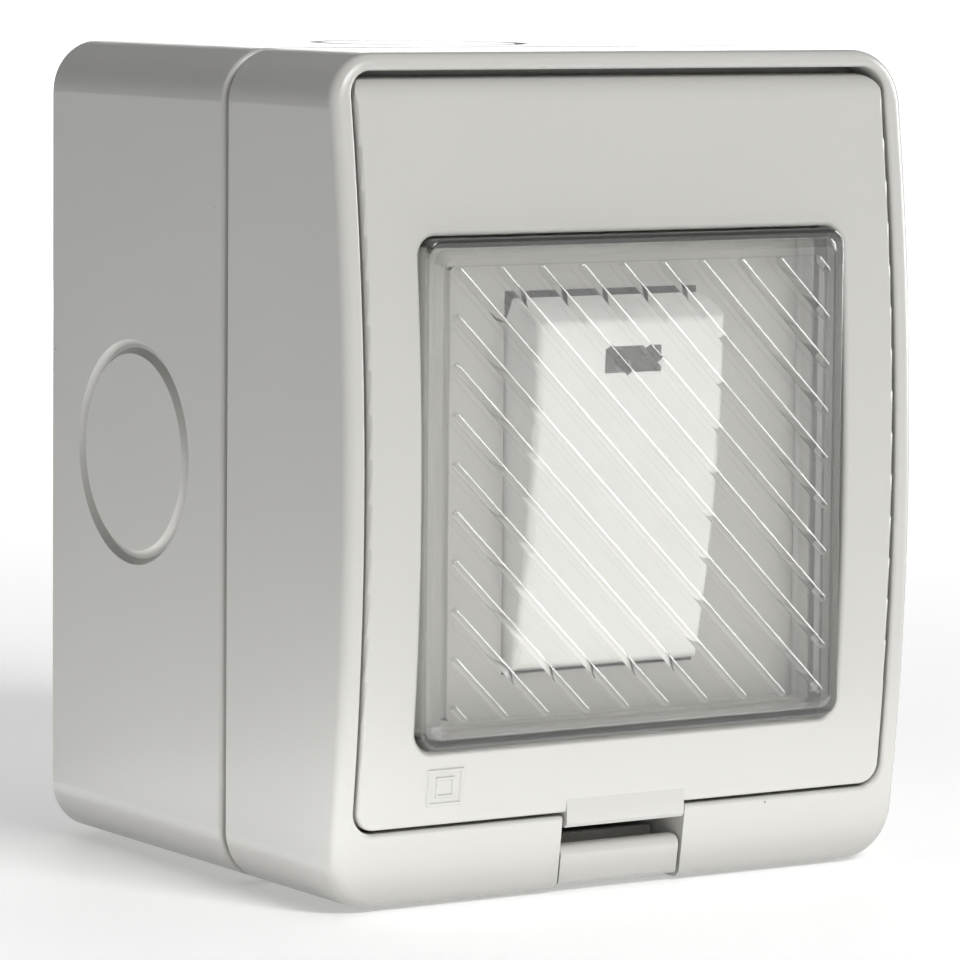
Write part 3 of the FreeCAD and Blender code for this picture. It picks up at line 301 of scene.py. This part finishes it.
BODY_DEPTH = 70.0
FRONT_RADIUS = 304.0
CROWN_HEIGHT = -2.0
SIGN_X = -25.4
SIGN_Z = -35.15
RIDGE_RISE = 0.16
RIDGE_FOOT = -0.05
RIDGE_FLANK = 0.28


def on_lid(x, z, rise):
    """Point in metres that stands proud of the lid's bowed front by rise."""
    bow = math.sqrt(FRONT_RADIUS**2 - (z - CROWN_HEIGHT) ** 2) - FRONT_RADIUS
    return Vector((x, -(BODY_DEPTH + bow + rise), z)) * MM


def square_ridge(mesh, half_width, half_height, line):
    """Closed square ridge with sloped flanks, its foot just under the lid's skin."""
    rings = []
    profile = (
        (0.0, RIDGE_FOOT),
        (line * RIDGE_FLANK, RIDGE_RISE),
        (line * (1.0 - RIDGE_FLANK), RIDGE_RISE),
        (line, RIDGE_FOOT)
    )
    for inset, rise in profile:
        x = half_width - inset
        z = half_height - inset
        corners = ((-x, -z), (x, -z), (x, z), (-x, z))
        rings.append([mesh.verts.new(on_lid(SIGN_X + a, SIGN_Z + b, rise)) for a, b in corners])
    for outer, inner in zip(rings, rings[1:] + rings[:1]):
        for i in range(4):
            j = (i + 1) % 4
            mesh.faces.new((outer[i], outer[j], inner[j], inner[i]))


sign_mesh = bmesh.new()
square_ridge(sign_mesh, half_width=2.5, half_height=2.25, line=0.55)
square_ridge(sign_mesh, half_width=1.35, half_height=1.30, line=0.50)
bmesh.ops.recalc_face_normals(sign_mesh, faces=sign_mesh.faces)
sign_data = bpy.data.meshes.new("insulation_sign")
sign_mesh.to_mesh(sign_data)
sign_mesh.free()
sign_data.materials.append(grey_plastic)
sign = bpy.data.objects.new("insulation_sign", sign_data)
scene.collection.objects.link(sign)
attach(sign, "lid")


# The plunger springs, copied from the solids as meshes of their own and hung on the rocker

for side in ("left", "right"):
    coil = bpy.data.objects.new("coil_" + side, nodes["spring_" + side].data.copy())
    scene.collection.objects.link(coil)
    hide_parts("spring_" + side)
    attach(coil, "rocker")
    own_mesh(coil)


# Floor: white paper that glows more with distance, as the photo's does

FLOOR_REACH = 40.0
FLOOR_GAP = 0.4 * MM
FLOOR_TONES = (shade(WHITE, 0.91), shade(WHITE, 0.93))
FLOOR_ROUGHNESS = 0.7
GLOW_DISTANCE = (0.1, 0.9)
GLOW_STRENGTH = (0.28, 0.9)

floor_z = cad_low.z - FLOOR_GAP
corner_signs = ((-1, -1), (1, -1), (1, 1), (-1, 1))
floor_corners = [(x * FLOOR_REACH, y * FLOOR_REACH, floor_z) for x, y in corner_signs]
floor_mesh = bpy.data.meshes.new("floor")
floor_mesh.from_pydata(floor_corners, [], [(0, 1, 2, 3)])
floor_material, floor_tree, floor_shader, floor_place = new_tree("floor_paper")
floor_paint = mixed(floor_tree, noise(floor_tree, floor_place, scale=6.0), *FLOOR_TONES)
floor_tree.links.new(floor_paint, floor_shader.inputs["Base Color"])
floor_shader.inputs["Roughness"].default_value = FLOOR_ROUGHNESS
away = floor_tree.nodes.new("ShaderNodeVectorMath")
away.operation = "LENGTH"
floor_tree.links.new(floor_place, away.inputs[0])
glow = ranged(floor_tree, away.outputs["Value"], source=GLOW_DISTANCE, result=GLOW_STRENGTH)
floor_tree.links.new(glow, floor_shader.inputs["Emission Strength"])
floor_shader.inputs["Emission Color"].default_value = (*WHITE, 1.0)
floor_mesh.materials.append(floor_material)
floor = bpy.data.objects.new("floor", floor_mesh)
scene.collection.objects.link(floor)


# Backdrop: a white dome that only the camera sees, so that every view has a pale background

DOME_RADIUS = 3.0
DOME_TONES = (shade(WHITE, 0.98), WHITE)

dome_form = bmesh.new()
bmesh.ops.create_uvsphere(dome_form, u_segments=48, v_segments=24, radius=DOME_RADIUS)
dome_mesh = bpy.data.meshes.new("backdrop")
dome_form.to_mesh(dome_mesh)
dome_form.free()
dome_material, dome_tree, dome_shader, dome_place = new_tree("backdrop_white")
dome_paint = mixed(dome_tree, noise(dome_tree, dome_place, scale=0.05), *DOME_TONES)
dome_tree.links.new(dome_paint, dome_shader.inputs["Emission Color"])
dome_shader.inputs["Emission Strength"].default_value = 1.0
dome_mesh.materials.append(dome_material)
dome = bpy.data.objects.new("backdrop", dome_mesh)
dome.visible_diffuse = False
dome.visible_glossy = False
dome.visible_transmission = False
dome.visible_shadow = False
scene.collection.objects.link(dome)


# Light: a dim sky that is darker at the left, and soft studio lamps

SKY_SPAN = (-0.8, 0.5)
SKY_STRENGTH = (0.01, 0.12)
FRONT = (0.0, -0.06, 0.0)
CARD_LIFT = 0.5 * MM
SUN_ANGLE = math.radians(60)

world = bpy.data.worlds.new("studio")
world.use_nodes = True
sky = world.node_tree
background = sky.nodes["Background"]
direction = parted(sky, sky.nodes.new("ShaderNodeTexCoord").outputs["Generated"])
sky_light = ranged(sky, direction["X"], source=SKY_SPAN, result=SKY_STRENGTH)
sky.links.new(sky_light, background.inputs["Strength"])
background.inputs["Color"].default_value = (*WHITE, 1.0)
scene.world = world


def lamp(name, kind, place, target, energy, **settings):
    """Lamp that looks at target and isn't seen by the camera."""
    data = bpy.data.lights.new(name, kind)
    data.energy = energy
    for key, value in settings.items():
        setattr(data, key, value)
    light = bpy.data.objects.new(name, data)
    light.location = place
    light.rotation_mode = "QUATERNION"
    light.rotation_quaternion = (Vector(target) - Vector(place)).to_track_quat("-Z", "Y")
    light.visible_camera = False
    scene.collection.objects.link(light)
    return light


def card(name, place, target, energy, wide, high):
    return lamp(name, "AREA", place, target, energy, shape="RECTANGLE", size=wide, size_y=high)


def floor_card(name, x, y, energy, wide, deep):
    """Card that lies on the floor and shines straight up, like light that the paper throws back."""
    place = (x, y, cad_low.z + CARD_LIFT)
    return card(name, place, (x, y, 1.0), energy, wide, deep)


lamp("overhead", "SUN", place=(0.2, -0.2, 2.0), target=FRONT, energy=0.56, angle=SUN_ANGLE)
lamp("key", "AREA", place=(0.12, -0.95, 0.70), target=FRONT, energy=8.1, shape="SQUARE", size=0.35)
card("back_card", place=(0.55, 0.85, 0.12), target=(0.0, -0.03, 0.04), energy=1.6, wide=0.5, high=0.25)
card("edge_strip", place=(-0.62, -0.62, 0.05), target=FRONT, energy=0.6, wide=0.06, high=0.7)
floor_card("front_card", x=0.0, y=-0.092, energy=0.031, wide=0.20, deep=0.04)
floor_card("left_card", x=-0.070, y=-0.037, energy=0.031, wide=0.05, deep=0.14)
# The rib strip gives highlights alone, for the thin bright lines on the window's ribs
rib_strip = card("rib_strip", place=(0.86, -0.26, 0.22), target=FRONT, energy=8.0, wide=0.45, high=0.6)
rib_strip.visible_diffuse = False
rib_strip.visible_transmission = False


# Camera, fitted to the photo's box corners and seams

TARGET = Vector((0.0, -28.867, -1.85)) * MM
DISTANCE = 647.73 * MM
YAW = math.radians(32.385)
PITCH = math.radians(5.7)
ROLL = math.radians(0.491)
SENSOR_WIDTH = 36.0
LENS = 197.28
SHIFT_X = 0.03016
SHIFT_Y = -0.02248

back = Vector((-math.sin(YAW) * math.cos(PITCH), -math.cos(YAW) * math.cos(PITCH), math.sin(PITCH)))
level_right = Vector((0.0, 0.0, 1.0)).cross(back).normalized()
level_up = back.cross(level_right)
right = level_right * math.cos(ROLL) + level_up * math.sin(ROLL)
up = level_up * math.cos(ROLL) - level_right * math.sin(ROLL)
camera_data = bpy.data.cameras.new("camera")
camera_data.sensor_width = SENSOR_WIDTH
camera_data.lens = LENS
camera_data.shift_x = SHIFT_X
camera_data.shift_y = SHIFT_Y
camera_data.clip_start = 0.02
camera_data.clip_end = 200.0
camera = bpy.data.objects.new("camera", camera_data)
turn = Matrix((right, up, back)).transposed().to_4x4()
camera.matrix_world = Matrix.Translation(TARGET + back * DISTANCE) @ turn
scene.collection.objects.link(camera)
scene.camera = camera
scene.view_settings.view_transform = "Standard"
